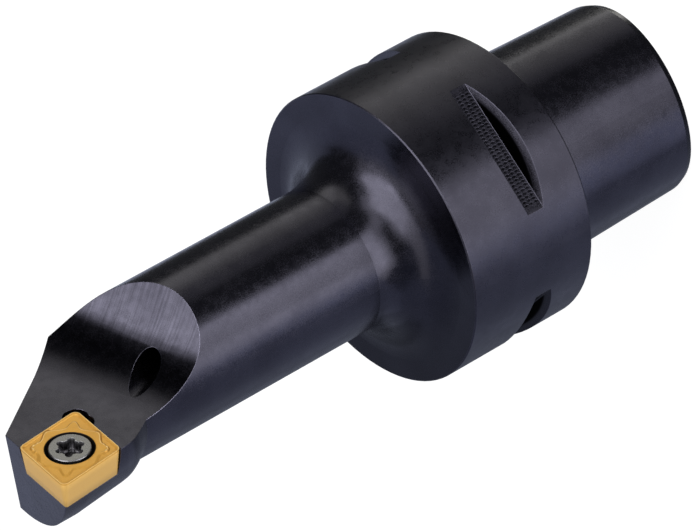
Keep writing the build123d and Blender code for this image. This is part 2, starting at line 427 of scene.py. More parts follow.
# --------------------------------------------------------------------------- finishes
@dataclass(frozen=True)
class SlotFinish:
    """Pitted floors of the flange's slots, and painted shade that blackens their wall faces."""

    floor_radius: float = 17.76 * MM
    strip_middle: float = 8.125 * MM
    strip_half: float = 1.28 * MM
    strip_blend: float = 0.06 * MM
    flange_half: float = 10.0 * MM
    rim_start: float = 0.5 * MM
    rim_end: float = 0.4 * MM
    pit_column: float = 0.78 * MM
    pit_row: float = 0.50 * MM
    column_share: float = 0.8
    pit_depth: Ramp = Ramp(-0.1, 1.0)
    at_floor: Ramp = Ramp(0.0, 0.05 * MM, 1.0, 0.0)
    pits_across: Ramp = Ramp(1.12 * MM, 1.25 * MM, 1.0, 0.0)
    pits_along: Ramp = Ramp(8.0 * MM, 8.5 * MM, 1.0, 0.0)
    under_rim: Ramp = Ramp(19.86 * MM, 19.92 * MM, 1.0, 0.0)
    past_floor: Ramp = Ramp(16.9 * MM, 17.2 * MM)
    # painted shade: the slots' wall faces fall nearly to black towards their floors
    wall_shade_tone: Ramp = Ramp(18.9 * MM, 19.5 * MM, 0.02, 1.0)

    def pits(self, bench: NodeBench, place: Socket) -> Socket:
        """Depth of the small pits milled into the slots' floors.

        Args:
            bench: the material's bench.
            place: object coordinates.

        Returns:
            A socket that is 1 in a pit and 0 between them.
        """
        half = math.sqrt(0.5)
        first = bench.math("ABSOLUTE", bench.dot(place, (half, half, 0.0)))
        second = bench.math("ABSOLUTE", bench.dot(place, (half, -half, 0.0)))
        far = bench.math("MAXIMUM", first, second)
        along = bench.math("MINIMUM", first, second)
        height = bench.math("SUBTRACT", bench.split(place)[2], self.strip_middle)
        column = bench.math("COSINE", bench.product(height, 2 * math.pi / self.pit_column))
        row = bench.math("COSINE", bench.product(along, 2 * math.pi / self.pit_row))
        waves = bench.math("ADD", bench.product(column, self.column_share), row)
        grid = bench.ramp(waves, self.pit_depth)
        mask = bench.product(
            bench.ramp(bench.apart(far, self.floor_radius), self.at_floor),
            bench.ramp(bench.math("ABSOLUTE", height), self.pits_across),
            bench.ramp(along, self.pits_along),
        )
        return bench.product(grid, mask)

    def slot_wall_shade(self, bench: NodeBench, place: Socket) -> Socket:
        """How dark the painted shade on the slots' wall faces is, darkest beside their floors.

        Args:
            bench: the material's bench.
            place: object coordinates.

        Returns:
            A socket that is 1 outside the slots and falls towards their floors.
        """
        radius = bench.from_axis(place)
        height = bench.split(place)[2]
        off_strip = Ramp(self.strip_half, self.strip_half + self.strip_blend)
        in_flange = Ramp(self.flange_half - self.rim_start, self.flange_half - self.rim_end, 1.0, 0.0)
        inside = bench.ramp(radius, self.under_rim)
        off_floor = bench.ramp(bench.apart(height, self.strip_middle), off_strip)
        between = bench.ramp(bench.apart(height, self.flange_half), in_flange)
        outer = bench.ramp(radius, self.past_floor)
        mask = bench.product(bench.product(inside, off_floor), bench.product(between, outer))
        black = bench.math("SUBTRACT", 1.0, bench.ramp(radius, self.wall_shade_tone))
        return bench.math("SUBTRACT", 1.0, bench.product(mask, black))


@dataclass(frozen=True)
class PaintedShading:
    """Painted shade and light on the bar: darker in the scoop's hollow, lighter towards +y and darker
    towards -y on the flange's face, lighter on the nose.
    """

    # painted shade in the scoop's hollow, chosen by where the normals face
    hollow_start: Ramp = Ramp(0.16, 0.50)
    hollow_end: Ramp = Ramp(0.58, 0.68, 1.0, 0.0)
    hollow_side: Ramp = Ramp(0.02, 0.06, 1.0, 0.0)
    hollow_up: Ramp = Ramp(0.3, 0.5)
    hollow_depth: float = 0.78
    # painted light and shade across the flange's face
    front_facing: Ramp = Ramp(0.72, 0.97)
    front_height: Ramp = Ramp(30.0 * MM, 40.0 * MM, 1.0, 0.0)
    fade: Direction = (-0.385, 0.923, 0.0)
    face_light_tone: Ramp = Ramp(-20.0 * MM, 20.0 * MM, -0.50, 0.33)
    # painted light on the nose
    nose_facing: Ramp = Ramp(0.90, 0.97, 0.0, 0.65)
    nose_height: Ramp = Ramp(60.0 * MM, 65.0 * MM)

    def tone(self, bench: NodeBench, cuts: CutDirections, place: Socket, normal: Socket) -> Socket:
        """Painted shade in the scoop's hollow, a painted light-to-shade gradient across the flange's face
        and painted light on the nose.

        Args:
            bench: the material's bench.
            cuts: directions of the head's cuts.
            place: object coordinates.
            normal: the surface's normal.

        Returns:
            A socket that multiplies the colour.
        """
        height = bench.dot(place, cuts.axis)
        side = bench.math("ABSOLUTE", bench.dot(normal, cuts.scoop_side))
        forward = bench.dot(normal, cuts.scoop_forward)
        hollow = bench.product(
            bench.ramp(forward, self.hollow_start),
            bench.ramp(forward, self.hollow_end),
            bench.ramp(side, self.hollow_side),
            bench.ramp(bench.dot(normal, cuts.up), self.hollow_up),
            bench.ramp(height, SCOOP_START),
        )
        axial = bench.dot(normal, cuts.axis)
        front = bench.product(bench.ramp(axial, self.front_facing), bench.ramp(height, self.front_height))
        fade = bench.ramp(bench.dot(place, self.fade), self.face_light_tone)
        nose = bench.product(bench.ramp(axial, self.nose_facing), bench.ramp(height, self.nose_height))
        return bench.product(
            bench.math("SUBTRACT", 1.0, bench.product(hollow, self.hollow_depth)),
            bench.math("ADD", 1.0, bench.product(front, fade)),
            bench.math("ADD", 1.0, nose),
        )


@dataclass(frozen=True)
class BlackOxide:
    """Satin black oxide on turned and milled steel."""

    base: Colour = (0.0460, 0.0442, 0.0595)
    light: Colour = (0.0660, 0.0638, 0.0840)
    grain_scale: float = 6500.0
    grain_detail: float = 3.0
    cloud_scale: float = 160.0
    mottle_scale: float = 900.0
    turned_scale: float = 5200.0
    line_scale: float = 3900.0
    line_run_scale: float = 110.0
    grain_share: float = 0.55
    cloud_share: float = 0.45
    shade_tone: Ramp = Ramp(0.35, 0.65)
    line_tone: Ramp = Ramp(0.3, 0.7, 0.84, 1.22)
    pit_tone: Ramp = Ramp(0.0, 1.0, 1.0, 0.3)
    scoop_facing: Ramp = Ramp(0.90, 0.985)
    edge_radius: float = 0.12 * MM
    edge_gain: float = 1.6
    head_edge_gain: float = 5.0
    grain_rough: Ramp = Ramp(0.3, 0.7, 0.21, 0.30)
    mottle_rough: Ramp = Ramp(0.3, 0.7, -0.035, 0.035)
    rim_outside: Ramp = Ramp(19.7 * MM, 19.9 * MM)
    rim_rough: float = 0.07
    wall_rough: Ramp = Ramp(0.0, 0.9, 0.95, 0.0)
    grain_relief: Ramp = Ramp(0.0, 1.0, 0.35, 0.08)
    turned_relief: float = 0.25
    line_relief: float = 0.45
    pit_relief: float = 9.0
    relief: Relief = Relief(0.16, 0.01 * MM)
    slots: SlotFinish = field(default_factory=SlotFinish)
    painted_shading: PaintedShading = field(default_factory=PaintedShading)
    cuts: CutDirections = field(default_factory=CutDirections)

    def brushing(self, bench: NodeBench, place: Socket) -> Socket:
        """Lines that run down the scoop's inclined wall.

        Args:
            bench: the material's bench.
            place: object coordinates.

        Returns:
            The lines' socket.
        """
        side = bench.product(bench.dot(place, self.cuts.scoop_side), self.line_scale)
        down = bench.product(bench.dot(place, self.cuts.scoop_down), self.line_run_scale)
        return bench.noise(bench.combine(side, down, 0.0), 1.0)

    def inclined_wall(self, bench: NodeBench, place: Socket, normal: Socket) -> Socket:
        """Share of the scoop's inclined wall.

        Args:
            bench: the material's bench.
            place: object coordinates.
            normal: the surface's normal.

        Returns:
            A socket that is 1 on the wall and 0 elsewhere.
        """
        facing = self.cuts.scoop_down.cross(self.cuts.scoop_side)
        wall = bench.ramp(bench.dot(normal, facing), self.scoop_facing)
        headward = bench.ramp(bench.dot(place, self.cuts.axis), SCOOP_START)
        return bench.ramp(bench.product(wall, headward), EVEN_OUT)

    def edge_light(self, bench: NodeBench, place: Socket, edge_highlight: Socket) -> Socket:
        """Painted highlight that makes the edges paler, most of all around the scoop.

        Args:
            bench: the material's bench.
            place: object coordinates.
            edge_highlight: where the edges are, which get the painted highlight.

        Returns:
            A socket that multiplies the colour.
        """
        along = bench.dot(place, self.cuts.axis)
        beside = bench.product(bench.ramp(along, SCOOP_END), bench.ramp(along, SCOOP_START))
        gain = bench.ramp(beside, Ramp(0.0, 1.0, self.edge_gain, self.head_edge_gain))
        return bench.math("ADD", 1.0, bench.product(edge_highlight, gain))

    def turned_rim(self, bench: NodeBench, place: Socket) -> Socket:
        """Share of the flange's turned outside."""
        return bench.ramp(bench.from_axis(place), self.rim_outside)

    def build(self, name: str) -> bpy.types.Material:
        """Makes the material.

        Args:
            name: its name.

        Returns:
            The material.
        """
        material, bench = new_material(name)
        place = bench.add("ShaderNodeTexCoord")
        where = place.outputs["Object"]
        normal = place.outputs["Normal"]
        grain = bench.noise(where, self.grain_scale, self.grain_detail)
        cloud = bench.noise(where, self.cloud_scale)
        mottle = bench.noise(where, self.mottle_scale)
        turned = bench.noise(bench.combine(0.0, 0.0, bench.split(where)[2]), self.turned_scale)
        lines = self.brushing(bench, where)
        scoop = self.inclined_wall(bench, where, normal)
        pits = self.slots.pits(bench, where)
        # painted shade that blackens the slots' wall faces
        slot_wall_shade = self.slots.slot_wall_shade(bench, where)
        # the edge mask carries a painted highlight along the edges
        soften, edge_highlight = edge_bevel(bench, self.edge_radius)

        shade = bench.math(
            "ADD", bench.product(grain, self.grain_share), bench.product(cloud, self.cloud_share)
        )
        colour = bench.mix_colour(bench.ramp(shade, self.shade_tone), rgba(self.base), rgba(self.light))
        brushed = bench.math("SUBTRACT", bench.ramp(lines, self.line_tone), 1.0)
        # painted shade and light ride in this tone: slot wall faces, scoop hollow, flange face, nose and
        # edge highlights
        tone = bench.product(
            bench.math("ADD", bench.product(brushed, scoop), 1.0),
            bench.ramp(pits, self.pit_tone),
            slot_wall_shade,
            self.painted_shading.tone(bench, self.cuts, where, normal),
            self.edge_light(bench, where, edge_highlight),
        )
        colour = bench.mix_colour(1.0, colour, bench.combine(tone, tone, tone), "MULTIPLY")

        rough = bench.math("ADD", bench.ramp(grain, self.grain_rough), bench.ramp(mottle, self.mottle_rough))
        rough = bench.math("ADD", rough, bench.product(self.turned_rim(bench, where), self.rim_rough))
        rough = bench.math("MAXIMUM", rough, bench.ramp(slot_wall_shade, self.wall_rough))

        fine = bench.product(grain, bench.ramp(scoop, self.grain_relief))
        height = bench.math("ADD", fine, bench.product(turned, self.turned_relief))
        height = bench.math("ADD", height, bench.product(lines, scoop, self.line_relief))
        height = bench.math("SUBTRACT", height, bench.product(pits, self.pit_relief))
        metal_surface(bench, 1.0, colour, rough, self.relief.normals(bench, height, soften))
        return material


@dataclass(frozen=True)
class GoldCoating:
    """Satin golden coating on a ground and pressed insert."""

    base: Colour = (0.765, 0.405, 0.072)
    deep: Colour = (0.67, 0.345, 0.058)
    # painted light: the flanks are a lit, paler copy of the coating
    lit_flank: Colour = (0.98, 0.58, 0.155)
    # painted highlight for the chip breaker's crest and the honed land
    rim: Colour = (1.0, 0.74, 0.34)
    shadow: Colour = (0.33, 0.15, 0.025)
    # painted shade in the screw seat
    seat_shade: Colour = (0.012, 0.010, 0.010)
    metallic: float = 0.40
    grain_scale: float = 5200.0
    grain_detail: float = 3.0
    cloud_scale: float = 420.0
    noise_share: float = 0.5
    seat_radius: float = 3.13 * MM
    seat_blend: float = 0.03 * MM
    shade_tone: Ramp = Ramp(0.3, 0.7)
    flank_tone: Ramp = Ramp(-0.3 * MM, -0.2 * MM, 1.0, 0.0)
    top_only: Ramp = Ramp(-0.3 * MM, -0.25 * MM)
    foot_tone: Ramp = Ramp(0.1, 0.9, 0.0, 0.85)
    crest_highlight: Ramp = Ramp(-0.9, -0.1, 0.55, 0.0)
    land_highlight: Ramp = Ramp(-0.012 * MM, -0.003 * MM, 0.0, 0.8)
    rough: Ramp = Ramp(0.3, 0.7, 0.37, 0.48)
    relief: Relief = Relief(0.25, 0.006 * MM)
    centre: Direction = (0.0, 0.0, 0.0)
    cuts: CutDirections = field(default_factory=CutDirections)

    def seat(self, bench: NodeBench, place: Socket) -> Socket:
        """Share of the screw seat, darkened with painted shade.

        Args:
            bench: the material's bench.
            place: object coordinates.

        Returns:
            A socket that is 1 inside the seat and 0 outside it.
        """
        squares = []
        for direction in (self.cuts.bisector, self.cuts.up.cross(self.cuts.bisector)):
            reach = bench.beyond(place, direction, self.centre)
            squares.append(bench.product(reach, reach))
        radius = bench.math("SQRT", bench.math("ADD", *squares))
        return bench.ramp(radius, Ramp(self.seat_radius, self.seat_radius + self.seat_blend, 1.0, 0.0))

    def build(self, name: str) -> bpy.types.Material:
        """Makes the material.

        Args:
            name: its name.

        Returns:
            The material.
        """
        material, bench = new_material(name)
        where = bench.add("ShaderNodeTexCoord").outputs["Object"]
        grain = bench.noise(where, self.grain_scale, self.grain_detail)
        cloud = bench.noise(where, self.cloud_scale)
        shade = bench.math(
            "ADD", bench.product(grain, self.noise_share), bench.product(cloud, self.noise_share)
        )
        colour = bench.mix_colour(bench.ramp(shade, self.shade_tone), rgba(self.deep), rgba(self.base))
        level = bench.beyond(where, self.cuts.up, self.centre)
        # painted light on the flanks
        colour = bench.mix_colour(bench.ramp(level, self.flank_tone), colour, rgba(self.lit_flank))
        crease = bench.add("ShaderNodeAttribute", attribute_name=CREASE).outputs["Fac"]
        above = bench.ramp(level, self.top_only)
        foot = bench.product(bench.ramp(crease, self.foot_tone), above)
        crest = bench.product(bench.ramp(crease, self.crest_highlight), above)
        # painted shadow at the chip breaker's foot, painted highlight at its crest and on the land
        colour = bench.mix_colour(foot, colour, rgba(self.shadow))
        colour = bench.mix_colour(crest, colour, rgba(self.rim))
        colour = bench.mix_colour(bench.ramp(level, self.land_highlight), colour, rgba(self.rim))
        # painted shade in the screw seat
        colour = bench.mix_colour(self.seat(bench, where), colour, rgba(self.seat_shade))
        rough = bench.ramp(grain, self.rough)
        metal_surface(bench, self.metallic, colour, rough, self.relief.normals(bench, grain))
        return material


@dataclass(frozen=True)
class ScrewSteel:
    """Satin grey steel of the insert screw, with painted highlights on its recess walls and edges and
    painted shade deep in its recess.
    """

    base: Colour = (0.275, 0.27, 0.287)
    dark: Colour = (0.20, 0.196, 0.206)
    # painted highlight on the recess walls
    recess: Colour = (0.85, 0.85, 0.87)
    # painted highlight along the screw's edges
    edge: Colour = (0.62, 0.61, 0.63)
    # painted shade deep in the recess
    hollow: Colour = (0.03, 0.028, 0.03)
    grain_scale: float = 7000.0
    grain_detail: float = 3.0
    recess_radius: float = 1.9 * MM
    recess_blend: float = 0.05 * MM
    shade_tone: Ramp = Ramp(0.3, 0.7)
    wall_bottom: Ramp = Ramp(-0.5 * MM, -0.1 * MM)
    wall_top: Ramp = Ramp(0.03 * MM, 0.045 * MM, 1.0, 0.0)
    hollow_tone: Ramp = Ramp(-1.0 * MM, -0.4 * MM, 0.9, 0.0)
    edge_radius: float = 0.1 * MM
    edge_highlight_share: float = 0.7
    rough: Ramp = Ramp(0.3, 0.7, 0.25, 0.38)
    relief: Relief = Relief(0.3, 0.006 * MM)
    centre: Direction = (0.0, 0.0, 0.0)
    cuts: CutDirections = field(default_factory=CutDirections)

    def near_recess(self, bench: NodeBench, place: Socket) -> Socket:
        """Share of the screw's head that its recess takes up.

        Args:
            bench: the material's bench.
            place: object coordinates.

        Returns:
            A socket that is 1 around the recess and 0 outside it.
        """
        apart = bench.add("ShaderNodeVectorMath", operation="DISTANCE")
        bench.join(place, apart.inputs[0])
        apart.inputs[1].default_value = self.centre
        reach = Ramp(self.recess_radius, self.recess_radius + self.recess_blend, 1.0, 0.0)
        return bench.ramp(apart.outputs["Value"], reach)

    def build(self, name: str) -> bpy.types.Material:
        """Makes the material.

        Args:
            name: its name.

        Returns:
            The material.
        """
        material, bench = new_material(name)
        where = bench.add("ShaderNodeTexCoord").outputs["Object"]
        grain = bench.noise(where, self.grain_scale, self.grain_detail)
        colour = bench.mix_colour(bench.ramp(grain, self.shade_tone), rgba(self.dark), rgba(self.base))
        near = self.near_recess(bench, where)
        level = bench.beyond(where, self.cuts.up, self.centre)
        # painted highlight on the recess walls, painted shade deeper down
        wall = bench.product(bench.ramp(level, self.wall_bottom), bench.ramp(level, self.wall_top), near)
        deep = bench.product(bench.ramp(level, self.hollow_tone), near)
        colour = bench.mix_colour(deep, colour, rgba(self.hollow))
        colour = bench.mix_colour(wall, colour, rgba(self.recess))
        soften, edge_highlight = edge_bevel(bench, self.edge_radius)
        # painted highlight: the edges are mixed towards pale grey
        colour = bench.mix_colour(bench.product(edge_highlight, self.edge_highlight_share), colour, rgba(self.edge))
        rough = bench.ramp(grain, self.rough)
        metal_surface(bench, 1.0, colour, rough, self.relief.normals(bench, grain, soften))
        return material


# --------------------------------------------------------------------------- mesh helpers
def finish_mesh(
    shape: bmesh.types.BMesh, name: str, material: bpy.types.Material
) -> bpy.types.Object:
    """Turns a bmesh into a piece that rides on the bar.

    Args:
        shape: the bmesh, in metres, in the part's frame; it is freed.
        name: the piece's name.
        material: its finish.

    Returns:
        The new object.
    """
    bmesh.ops.recalc_face_normals(shape, faces=shape.faces)
    mesh = bpy.data.meshes.new(name)
    shape.to_mesh(mesh)
    shape.free()
    mesh.materials.append(material)
    mesh.shade_smooth()
    piece = bpy.data.objects.new(name, mesh)
    bpy.context.scene.collection.objects.link(piece)
    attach(piece, BODY)
    return piece


def grow_ring(shape: bmesh.types.BMesh, ring: Ring) -> tuple[Ring, list[bmesh.types.BMVert]]:
    """Extrudes a closed ring of edges in place.

    Args:
        shape: the bmesh.
        ring: the ring's edges.

    Returns:
        The new edges and the new vertices.
    """
    grown = bmesh.ops.extrude_edge_only(shape, edges=ring)["geom"]
    edges = [item for item in grown if isinstance(item, bmesh.types.BMEdge)]
    verts = [item for item in grown if isinstance(item, bmesh.types.BMVert)]
    loop = [edge for edge in edges if edge.verts[0] in verts and edge.verts[1] in verts]
    return loop, verts


# --------------------------------------------------------------------------- insert
@dataclass(frozen=True)
class Lobe:
    """A bulge of the chip breaker's plateau: reach in mm, place and width in degrees."""

    reach: float
    place: float
    width: float


@dataclass(frozen=True)
class Bump:
    """A small round bump beside the chip breaker, sizes in mm."""

    x: float
    y: float
    radius: float
    height: float


@dataclass
class RhombicInsert:
    """Rhombic insert with a pressed chip breaker and a screw seat, sizes in mm."""

    circle: float = 9.525
    corner_degrees: float = 80.0
    thickness: float = 3.97
    clearance_degrees: float = 7.0
    corner_radius: float = 0.8
    tip: tuple[float, float] = (13.0, 80.2)
    land: float = 0.26
    land_drop: float = 0.02
    slope: float = 0.22
    groove: float = 0.19
    wall: float = 0.17
    wall_fade: float = 2.6
    wall_fade_lead: float = 0.6
    wall_fade_run: float = 2.6
    # where the chip breaker's painted shadow and highlight lie, and how they fade towards the cutting corner
    foot_line: tuple[float, float] = (0.07, 0.09)
    crest_line: tuple[float, float] = (-0.13, 0.08)
    line_fade: float = 0.8
    line_fade_lead: float = 0.8
    line_fade_run: float = 2.4
    plateau_drop: float = 0.03
    ring_radius: float = 3.86
    lobes: tuple[Lobe, ...] = (Lobe(1.38, 0.0, 8.5), Lobe(0.60, 46.0, 14.0), Lobe(0.86, 90.0, 11.0))
    bumps: tuple[Bump, ...] = (Bump(0.88, 4.08, 0.22, 0.09), Bump(0.35, 4.46, 0.2, 0.08))
    mouth: float = 3.15
    mouth_round: float = 0.1
    mouth_dip: float = 0.3
    mouth_lip: float = 0.03
    lip_depth: float = 0.12
    seat_radius: float = 2.7
    seat_depth: float = 1.0
    seat_half_degrees: float = 30.0
    bore: float = 2.2
    back_ring: float = 3.0
    back_break: float = 0.05
    hone: float = 0.035
    hone_slant: float = 1.2
    steps_round: int = 288
    steps_out: int = 52
    halvings: int = 40
    merge: float = 0.0005
    cuts: CutDirections = field(default_factory=CutDirections)

    @property
    def half(self) -> float:
        """Half of the cutting corner, in radians."""
        return math.radians(self.corner_degrees / 2)

    @property
    def centre(self) -> Vector:
        """Middle of the insert's top, in the part's millimetres.

        Returns:
            The point.
        """
        cuts = self.cuts
        nose = Vector((self.tip[0], 0.0, self.tip[1])) - (cuts.across + cuts.axis) * self.corner_radius
        reach = self.circle / 2 / math.sin(self.half) - self.corner_radius / math.sin(self.half)
        return nose - cuts.bisector * reach

    def placing(self) -> Matrix:
        """Where the insert stands.

        Returns:
            The matrix from its own millimetres to the part's metres.
        """
        cuts = self.cuts
        side = cuts.up.cross(cuts.bisector)
        turn = Matrix((cuts.bisector, side, cuts.up)).transposed().to_4x4()
        return Matrix.Scale(MM, 4) @ Matrix.Translation(self.centre) @ turn

    def margin(self, x: float, y: float) -> float:
        """Distance inside the rounded outline.

        Args:
            x: towards the cutting corner.
            y: across it.

        Returns:
            The distance to the nearest edge, negative outside.
        """
        along, over = abs(x), abs(y)
        inner = self.circle / 2 - self.corner_radius
        tip_x = inner / math.sin(self.half)
        tip_y = inner / math.cos(self.half)
        run_x, run_y = -math.cos(self.half), math.sin(self.half)
        length = math.hypot(tip_x, tip_y)
        travel = (along - tip_x) * run_x + over * run_y
        if travel < 0:
            outside = math.hypot(along - tip_x, over)
        elif travel > length:
            outside = math.hypot(along, over - tip_y)
        else:
            outside = along * math.sin(self.half) + over * math.cos(self.half) - inner
        return self.corner_radius - outside

    def reach(self, angle: float, inset: float) -> float:
        """Radius at which the outline, moved in by inset, is met at an angle.

        Args:
            angle: direction from the centre, in radians.
            inset: how far inside the outline.

        Returns:
            The radius.
        """
        near, far = 0.0, self.circle
        for _ in range(self.halvings):
            middle = (near + far) / 2
            if self.margin(middle * math.cos(angle), middle * math.sin(angle)) > inset:
                near = middle
            else:
                far = middle
        return near

    def plateau(self, angle: float) -> float:
        """Radius of the chip breaker's plateau at an angle.

        Args:
            angle: direction from the centre, in radians.

        Returns:
            The radius.
        """
        degrees = math.degrees(angle) % 180
        off_corner = min(degrees, 180 - degrees)
        radius = self.ring_radius
        for lobe in self.lobes:
            radius += lobe.reach * self.peak(off_corner, lobe.place, lobe.width)
        return radius

    def ease(self, value: float) -> float:
        """Smooth step from 0 to 1."""
        value = min(1.0, max(0.0, value))
        return value * value * (3 - 2 * value)

    def peak(self, value: float, middle: float, width: float) -> float:
        """Rounded peak that is 1 in the middle and falls to 0."""
        return math.exp(-(((value - middle) / width) ** 2))

    def height(self, x: float, y: float) -> float:
        """Height of the pressed top.

        Args:
            x: towards the cutting corner.
            y: across it.

        Returns:
            The height, 0 at the edge and negative in the groove.
        """
        margin = self.margin(x, y)
        angle = math.atan2(y, x)
        down = self.ease((margin - self.land) / self.slope)
        outside = math.hypot(x, y) - self.plateau(angle)
        fade = self.ease((x + self.wall_fade_lead) / self.wall_fade_run)
        wall = self.wall * (1 + self.wall_fade * fade)
        up = 1 - self.ease((outside + wall / 2) / wall)
        level = -self.groove * down * (1 - up) - self.plateau_drop * up
        level -= self.land_drop * self.ease(margin / self.land)
        for bump in self.bumps:
            gap = math.hypot(abs(x) - bump.x, abs(y) - bump.y) / bump.radius
            level += bump.height * math.exp(-gap * gap)
        return level

    def crease(self, x: float, y: float) -> float:
        """How strongly the chip breaker's wall is drawn as a painted line: painted shadow at its foot,
        painted highlight at its crest.

        Args:
            x: towards the cutting corner.
            y: across it.

        Returns:
            Up to 1 at the wall's foot and down to -1 at its crest.
        """
        outside = math.hypot(x, y) - self.plateau(math.atan2(y, x))
        foot = self.peak(outside, *self.foot_line)
        crest = self.peak(outside, *self.crest_line)
        fade = self.ease((x + self.line_fade_lead) / self.line_fade_run)
        return (foot - crest) * (1 - self.line_fade * fade)

    def press_top(self, shape: bmesh.types.BMesh, ring: Ring, line: bmesh.types.BMLayerItem) -> Ring:
        """Grows the pressed top, from the seat's mouth to the honed edge.

        Args:
            shape: the insert's bmesh.
            ring: the mouth's edges.
            line: the layer that holds the chip breaker's painted shadow and highlight line.

        Returns:
            The outermost edges.
        """
        start = self.mouth + self.mouth_round
        for step in range(self.steps_out + 1):
            ring, verts = grow_ring(shape, ring)
            for vert in verts:
                angle = math.atan2(vert.co.y, vert.co.x)
                rim = self.reach(angle, self.hone)
                radius = start + (rim - start) * (step / self.steps_out)
                vert.co.x = radius * math.cos(angle)
                vert.co.y = radius * math.sin(angle)
                vert.co.z = self.height(vert.co.x, vert.co.y)
                vert[line] = self.crease(vert.co.x, vert.co.y)
        return ring

    def grind_flanks(self, shape: bmesh.types.BMesh, ring: Ring) -> Ring:
        """Grows the hone and the flanks down to the insert's back.

        Args:
            shape: the insert's bmesh.
            ring: the top's outermost edges.

        Returns:
            The back's outermost edges.
        """
        slant = math.tan(math.radians(self.clearance_degrees))
        for depth in (
            self.hone * self.hone_slant,
            self.thickness / 3,
            self.thickness * 2 / 3,
            self.thickness - self.back_break,
            self.thickness,
        ):
            ring, verts = grow_ring(shape, ring)
            for vert in verts:
                angle = math.atan2(vert.co.y, vert.co.x)
                inset = depth * slant
                if depth == self.thickness:
                    inset += self.back_break
                radius = self.reach(angle, inset)
                vert.co = Vector((radius * math.cos(angle), radius * math.sin(angle), -depth))
        return ring

    def add_circle(self, shape: bmesh.types.BMesh, ring: Ring, radius: float, depth: float) -> Ring:
        """Grows a ring to a circle around the screw.

        Args:
            shape: the insert's bmesh.
            ring: the edges to grow.
            radius: the circle's radius.
            depth: how far it lies below the top.

        Returns:
            The circle's edges.
        """
        ring, verts = grow_ring(shape, ring)
        for vert in verts:
            angle = math.atan2(vert.co.y, vert.co.x)
            vert.co = Vector((radius * math.cos(angle), radius * math.sin(angle), -depth))
        return ring

    def sink_seat(self, shape: bmesh.types.BMesh, ring: Ring) -> None:
        """Grows the screw's seat and bore, from the mouth to the back.

        Args:
            shape: the insert's bmesh.
            ring: the mouth's edges.
        """
        cone = math.tan(math.radians(self.seat_half_degrees))
        lip = self.mouth - self.mouth_lip
        cylinder_end = self.seat_depth - (self.mouth - self.seat_radius) / cone
        bore_start = self.seat_depth + (self.seat_radius - self.bore) / cone
        for radius, depth in (
            (lip, self.lip_depth),
            (lip, cylinder_end),
            (self.seat_radius, self.seat_depth),
            (self.bore, bore_start),
            (self.bore, self.thickness),
        ):
            ring = self.add_circle(shape, ring, radius, depth)

    def build(self, material: bpy.types.Material) -> bpy.types.Object:
        """Makes the insert and puts it in place of its solid.

        Args:
            material: its coating.

        Returns:
            The insert.
        """
        shape = bmesh.new()
        line = shape.verts.layers.float.new(CREASE)
        bmesh.ops.create_circle(shape, segments=self.steps_round, radius=self.mouth)
        mouth = list(shape.edges)
        for vert in shape.verts:
            vert.co.z = self.height(vert.co.x, vert.co.y) - self.mouth_round * self.mouth_dip
        ring = self.press_top(shape, mouth, line)
        ring = self.grind_flanks(shape, ring)
        for radius in (self.back_ring, self.bore):
            ring = self.add_circle(shape, ring, radius, self.thickness)
        self.sink_seat(shape, mouth)
        bmesh.ops.remove_doubles(shape, verts=shape.verts, dist=self.merge)
        bmesh.ops.transform(shape, matrix=self.placing(), verts=shape.verts)
        piece = finish_mesh(shape, "coated_insert", material)
        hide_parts("insert")
        return piece


# --------------------------------------------------------------------------- bar and screw
@dataclass
class BarBody:
    """The machined bar: shank, flange, neck and head."""

    node: str = "bar_body"
    finish: BlackOxide = field(default_factory=BlackOxide)

    def dress(self, nodes: dict[str, bpy.types.Object]) -> bpy.types.Object:
        """Gives the bar its finish.

        Args:
            nodes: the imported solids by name.

        Returns:
            The bar.
        """
        bar = nodes[self.node]
        bar.data.materials.clear()
        bar.data.materials.append(self.finish.build("black_oxide"))
        return bar


@dataclass
class InsertScrew:
    """The countersunk screw that holds the insert."""

    node: str = "insert_screw"
    finish: ScrewSteel = field(default_factory=ScrewSteel)

    def dress(self, nodes: dict[str, bpy.types.Object]) -> bpy.types.Object:
        """Gives the screw its finish.

        Args:
            nodes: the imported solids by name.

        Returns:
            The screw.
        """
        screw = nodes[self.node]
        screw.data.materials.clear()
        screw.data.materials.append(self.finish.build("screw_steel"))
        return screw


# --------------------------------------------------------------------------- studio
@dataclass(frozen=True)
class Sheet:
    """One sheet of the studio's tent, by the directions that it covers, in degrees."""

    name: str
    left: float
    right: float
    low: float
    high: float
    level: float
    gel: Gel = Gel.PLAIN


def softboxes() -> list[Sheet]:
    """The sheets on either side of the camera.

    Returns:
        The sheets.
    """
    return [
        Sheet("left_strip", -60, -50, -10, 30, 4.05),
        Sheet("left_low", -50, -30, -20, 0, 2.74),
        Sheet("left_foot", -50, -10, -30, -20, 1.04),
        Sheet("left_mid", -50, -30, 0, 30, 2.9),
        Sheet("left_box", -30, -10, -20, 30, 2.96),
        Sheet("left_top", -30, 0, 30, 45, 1.04),
        Sheet("left_edge", -10, 0, -20, 30, 0.75),
        Sheet("front_top", 0, 20, 10, 30, 1.26),
        Sheet("right_edge", 20, 30, -10, 30, 1.07),
        Sheet("right_in", 30, 40, -20, 30, 2.13),
        Sheet("right_box", 40, 60, -20, 30, 3.05),
        Sheet("right_foot", 30, 75, -30, -20, 1.50),
        Sheet("right_low", 60, 75, -20, 0, 2.75),
        Sheet("right_top", 60, 75, 0, 30, 1.60),
    ]


